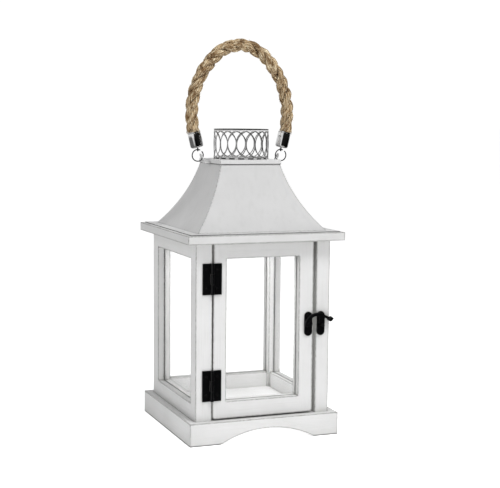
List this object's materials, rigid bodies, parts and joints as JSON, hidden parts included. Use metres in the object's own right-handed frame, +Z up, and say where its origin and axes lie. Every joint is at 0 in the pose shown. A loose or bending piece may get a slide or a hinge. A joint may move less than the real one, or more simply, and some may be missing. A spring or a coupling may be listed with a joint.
{
  "type": "candle lantern",
  "caption": "Square white wooden candle lantern with glazed walls and door, flared sheet-metal roof, pierced vent gallery and rope handle.",
  "frame": {"origin": "middle of the plinth's underside, on the table", "axes": "+Z up, -Y is the front with the door, +X is to the right as seen from the front"},
  "size_m": [0.167, 0.167, 0.405],
  "materials": {
    "white_wood": "matt white paint, edges worn",
    "clear_glass": "clear float glass",
    "white_metal": "satin off-white paint",
    "steel": "plain",
    "black_iron": "satin black",
    "chrome_metal": "bright plated",
    "jute_rope": "three-strand natural jute"
  },
  "bodies": {
    "lantern": {"plinth_front_board": "white_wood", "plinth_back_board": "white_wood", "plinth_left_board": "white_wood", "plinth_right_board": "white_wood", "floor_board": "white_wood", "door_sill": "white_wood", "post_front_left": "white_wood", "post_front_right": "white_wood", "post_rear_left": "white_wood", "post_rear_right": "white_wood", "rail_left_bottom": "white_wood", "rail_left_top": "white_wood", "rail_right_bottom": "white_wood", "rail_right_top": "white_wood", "rail_back_bottom": "white_wood", "rail_back_top": "white_wood", "glass_left": "clear_glass", "glass_right": "clear_glass", "glass_back": "clear_glass", "roof_board": "white_wood", "roof_shell": "white_metal", "roof_brads": "white_metal", "roof_collar": "white_metal", "gallery_base_ring": "white_metal", "gallery_lattice": "white_metal", "gallery_top_rim": "white_metal", "ear_left": "white_metal", "ear_right": "white_metal", "ear_rivets": "white_metal", "hinge_frame_leaves": "black_iron", "hinge_pins": "black_iron", "hinge_frame_screws": "black_iron", "catch_plate": "black_iron", "catch_stud": "black_iron", "catch_screws": "black_iron"},
    "door": {"door_stile_left": "white_wood", "door_stile_right": "white_wood", "door_rail_bottom": "white_wood", "door_rail_top": "white_wood", "door_glass": "clear_glass", "hinge_door_leaves": "black_iron", "hinge_door_screws": "black_iron", "latch_plate": "black_iron", "latch_pivot": "black_iron", "latch_screws": "black_iron"},
    "latch_arm": {"latch_arm": "black_iron", "latch_knob": "black_iron"},
    "rings": {"ring_left": "steel", "ring_right": "steel"},
    "handle": {"ferrule_left": "chrome_metal", "ferrule_right": "chrome_metal", "ferrule_eyes": "steel", "rope_handle": "jute_rope"}
  },
  "joints": [
    {"name": "door_hinge", "type": "hinge", "parent": "lantern", "child": "door", "pos_m": [-0.0552, -0.07395, 0.112], "axis": [0, 0, -1], "range_deg": [0, 175]},
    {"name": "latch_swing", "type": "hinge", "parent": "door", "child": "latch_arm", "pos_m": [0.0486, -0.0748, 0.1156], "axis": [0, -1, 0], "range_deg": [0, 105]},
    {"name": "rings_swing", "type": "hinge", "parent": "lantern", "child": "rings", "pos_m": [0, 0, 0.2814], "axis": [1, 0, 0], "range_deg": [-75, 75]},
    {"name": "handle_fold", "type": "hinge", "parent": "rings", "child": "handle", "pos_m": [0, 0, 0.2907], "axis": [1, 0, 0], "range_deg": [-50, 50]}
  ]
}
